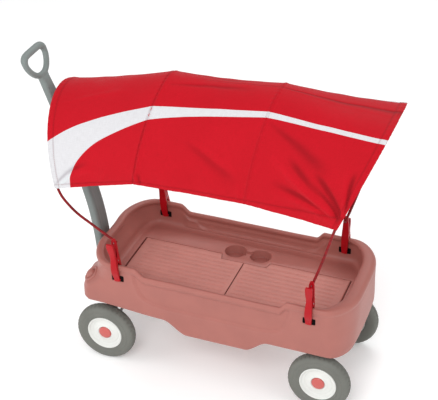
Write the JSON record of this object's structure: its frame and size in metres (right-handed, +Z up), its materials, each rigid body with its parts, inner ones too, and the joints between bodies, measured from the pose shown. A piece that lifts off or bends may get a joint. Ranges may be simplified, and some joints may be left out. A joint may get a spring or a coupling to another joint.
{
  "type": "kids pull wagon",
  "caption": "Plastic pull wagon with flip-up seat panels, steered front wheels, a folding pull handle and a clip-on fabric canopy carried on bent rods.",
  "frame": {"origin": "on the ground under the centre of the overall bounding box", "axes": "-X towards the pull handle, +X towards the rear, +Y the far side, +Z up; the wheels stand on z = 0"},
  "size_m": [1.381, 0.5267, 1.1841],
  "materials": {
    "body_plastic": "moulded plastic, soft sheen",
    "seat_plastic": "moulded plastic with lengthwise ribs",
    "handle_grey": "moulded plastic, matte",
    "tyre": "grey moulded tread",
    "wheel_hub": "off-white moulded plastic",
    "hub_cap": "smooth",
    "clip": "smooth moulded",
    "canopy_rod": "coated rod",
    "bright_steel": "zinc plated",
    "running_gear": "dark paint, satin",
    "canopy_fabric": "plain woven polyester with a pale stripe"
  },
  "bodies": {
    "root": {"tub_body": "body_plastic", "front_bolster": "running_gear", "kingpin": "bright_steel", "rear_axle_bracket_near": "running_gear", "rear_axle_bracket_far": "running_gear", "rear_axle": "bright_steel", "panel_hinge_rod_front": "bright_steel", "panel_hinge_rod_rear": "bright_steel", "clip_arm_front_near": "clip", "clip_pin_front_near": "bright_steel", "clip_spring_front_near": "bright_steel", "rod_pin_front_near": "bright_steel", "clip_arm_front_far": "clip", "clip_pin_front_far": "bright_steel", "clip_spring_front_far": "bright_steel", "rod_pin_front_far": "bright_steel", "clip_arm_rear_near": "clip", "clip_pin_rear_near": "bright_steel", "clip_spring_rear_near": "bright_steel", "rod_pin_rear_near": "bright_steel", "clip_arm_rear_far": "clip", "clip_pin_rear_far": "bright_steel", "clip_spring_rear_far": "bright_steel", "rod_pin_rear_far": "bright_steel", "rear_hoop": "canopy_rod", "canopy_fabric": "canopy_fabric"},
    "steering": {"front_axle_carrier": "running_gear", "front_axle": "bright_steel", "handle_pivot_pin": "bright_steel"},
    "handle": {"handle_shaft": "handle_grey", "handle_grip": "handle_grey"},
    "wheel_front_near": {"tyre_front_near": "tyre", "wheel_rim_front_near": "wheel_hub", "hub_cap_front_near": "hub_cap"},
    "wheel_front_far": {"tyre_front_far": "tyre", "wheel_rim_front_far": "wheel_hub", "hub_cap_front_far": "hub_cap"},
    "wheel_rear_near": {"tyre_rear_near": "tyre", "wheel_rim_rear_near": "wheel_hub", "hub_cap_rear_near": "hub_cap"},
    "wheel_rear_far": {"tyre_rear_far": "tyre", "wheel_rim_rear_far": "wheel_hub", "hub_cap_rear_far": "hub_cap"},
    "lever_front_near": {"clip_lever_front_near": "clip"},
    "lever_front_far": {"clip_lever_front_far": "clip"},
    "lever_rear_near": {"clip_lever_rear_near": "clip"},
    "lever_rear_far": {"clip_lever_rear_far": "clip"},
    "seat_front": {"seat_panel_front": "seat_plastic"},
    "seat_rear": {"seat_panel_rear": "seat_plastic"},
    "hoop_front": {"front_hoop": "canopy_rod"},
    "stay_front": {"canopy_stay_front": "canopy_rod"},
    "stay_rear": {"canopy_stay_rear": "canopy_rod"}
  },
  "joints": [
    {"name": "steering", "type": "hinge", "parent": "root", "child": "steering", "pos_m": [-0.33949, 0, 0.22], "axis": [0, 0, 1], "range_deg": [-20, 20]},
    {"name": "handle_fold", "type": "hinge", "parent": "steering", "child": "handle", "pos_m": [-0.42649, 0, 0.185], "axis": [0, 1, 0], "range_deg": [-75, 0]},
    {"name": "wheel_spin_front_near", "type": "hinge", "parent": "steering", "child": "wheel_front_near", "pos_m": [-0.33949, 0, 0.118], "axis": [0, 1, 0], "continuous": true},
    {"name": "wheel_spin_front_far", "type": "hinge", "parent": "steering", "child": "wheel_front_far", "pos_m": [-0.33949, 0, 0.118], "axis": [0, 1, 0], "continuous": true},
    {"name": "wheel_spin_rear_near", "type": "hinge", "parent": "root", "child": "wheel_rear_near", "pos_m": [0.51351, 0, 0.118], "axis": [0, 1, 0], "continuous": true},
    {"name": "wheel_spin_rear_far", "type": "hinge", "parent": "root", "child": "wheel_rear_far", "pos_m": [0.51351, 0, 0.118], "axis": [0, 1, 0], "continuous": true},
    {"name": "clip_open_front_near", "type": "hinge", "parent": "root", "child": "lever_front_near", "pos_m": [-0.27285, -0.2349, 0.48656], "axis": [-0.9945, 0, -0.1045], "range_deg": [0, 12]},
    {"name": "clip_open_front_far", "type": "hinge", "parent": "root", "child": "lever_front_far", "pos_m": [-0.27285, 0.2349, 0.48656], "axis": [0.9945, 0, 0.1045], "range_deg": [0, 12]},
    {"name": "clip_open_rear_near", "type": "hinge", "parent": "root", "child": "lever_rear_near", "pos_m": [0.47351, -0.2349, 0.487], "axis": [-1, 0, 0], "range_deg": [0, 12]},
    {"name": "clip_open_rear_far", "type": "hinge", "parent": "root", "child": "lever_rear_far", "pos_m": [0.47351, 0.2349, 0.487], "axis": [1, 0, 0], "range_deg": [0, 12]},
    {"name": "seat_flip_front", "type": "hinge", "parent": "root", "child": "seat_front", "pos_m": [-0.29099, 0, 0.354], "axis": [0, -1, 0], "range_deg": [0, 95]},
    {"name": "seat_flip_rear", "type": "hinge", "parent": "root", "child": "seat_rear", "pos_m": [0.52601, 0, 0.354], "axis": [0, 1, 0], "range_deg": [0, 95]},
    {"name": "canopy_fold", "type": "hinge", "parent": "root", "child": "hoop_front", "pos_m": [-0.27975, 0, 0.5522], "axis": [0, 1, 0], "range_deg": [0, 45], "deforming": ["canopy_fabric"]},
    {"name": "canopy_fold_stay_front", "type": "hinge", "parent": "root", "child": "stay_front", "pos_m": [-0.27975, 0, 0.5522], "axis": [0, 1, 0], "range_deg": [0, 34.65]},
    {"name": "canopy_fold_stay_rear", "type": "hinge", "parent": "root", "child": "stay_rear", "pos_m": [-0.27975, 0, 0.5522], "axis": [0, 1, 0], "range_deg": [0, 9.45]}
  ],
  "couplings": [
    {"joint": "canopy_fold_stay_front", "follows": "canopy_fold", "ratio": 0.77},
    {"joint": "canopy_fold_stay_rear", "follows": "canopy_fold", "ratio": 0.21}
  ]
}
